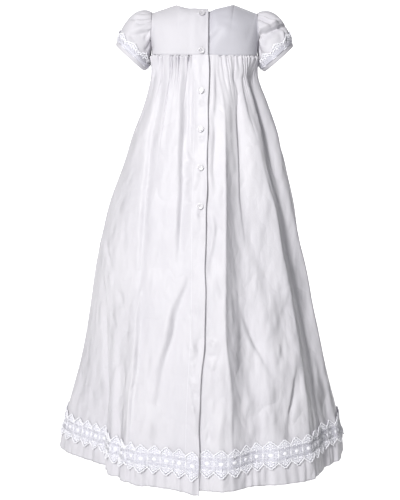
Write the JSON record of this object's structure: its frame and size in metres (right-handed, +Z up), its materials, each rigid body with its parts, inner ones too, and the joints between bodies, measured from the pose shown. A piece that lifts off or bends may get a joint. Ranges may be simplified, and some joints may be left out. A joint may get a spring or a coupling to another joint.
{
  "type": "christening gown",
  "caption": "Long infant gown with a short yoke, puffed sleeves, a gathered flared skirt, a buttoned back opening and scalloped lace above the hem.",
  "frame": {"origin": "midway between the two neck points of the shoulder seams, where the wearer's shoulders carry the gown", "axes": "+Z up, -Y towards the back with its buttons, +Y towards the front, -X towards the wearer's left"},
  "size_m": [0.5667, 0.4266, 0.864],
  "materials": {
    "satin": "satin",
    "lace": "matt",
    "button": "glossy"
  },
  "bodies": {
    "root": {"bodice_front": "satin", "bodice_back_left": "satin", "bodice_back_right": "satin", "sleeve_left": "satin", "sleeve_right": "satin", "skirt_front": "satin", "skirt_back_left": "satin", "skirt_back_right": "satin", "sleeve_lace_left": "lace", "sleeve_lace_right": "lace", "hem_lace_front": "lace", "hem_lace_back_left": "lace", "hem_lace_back_right": "lace", "button_1": "button", "button_2": "button", "button_3": "button", "button_4": "button", "button_5": "button", "button_6": "button"}
  },
  "joints": []
}
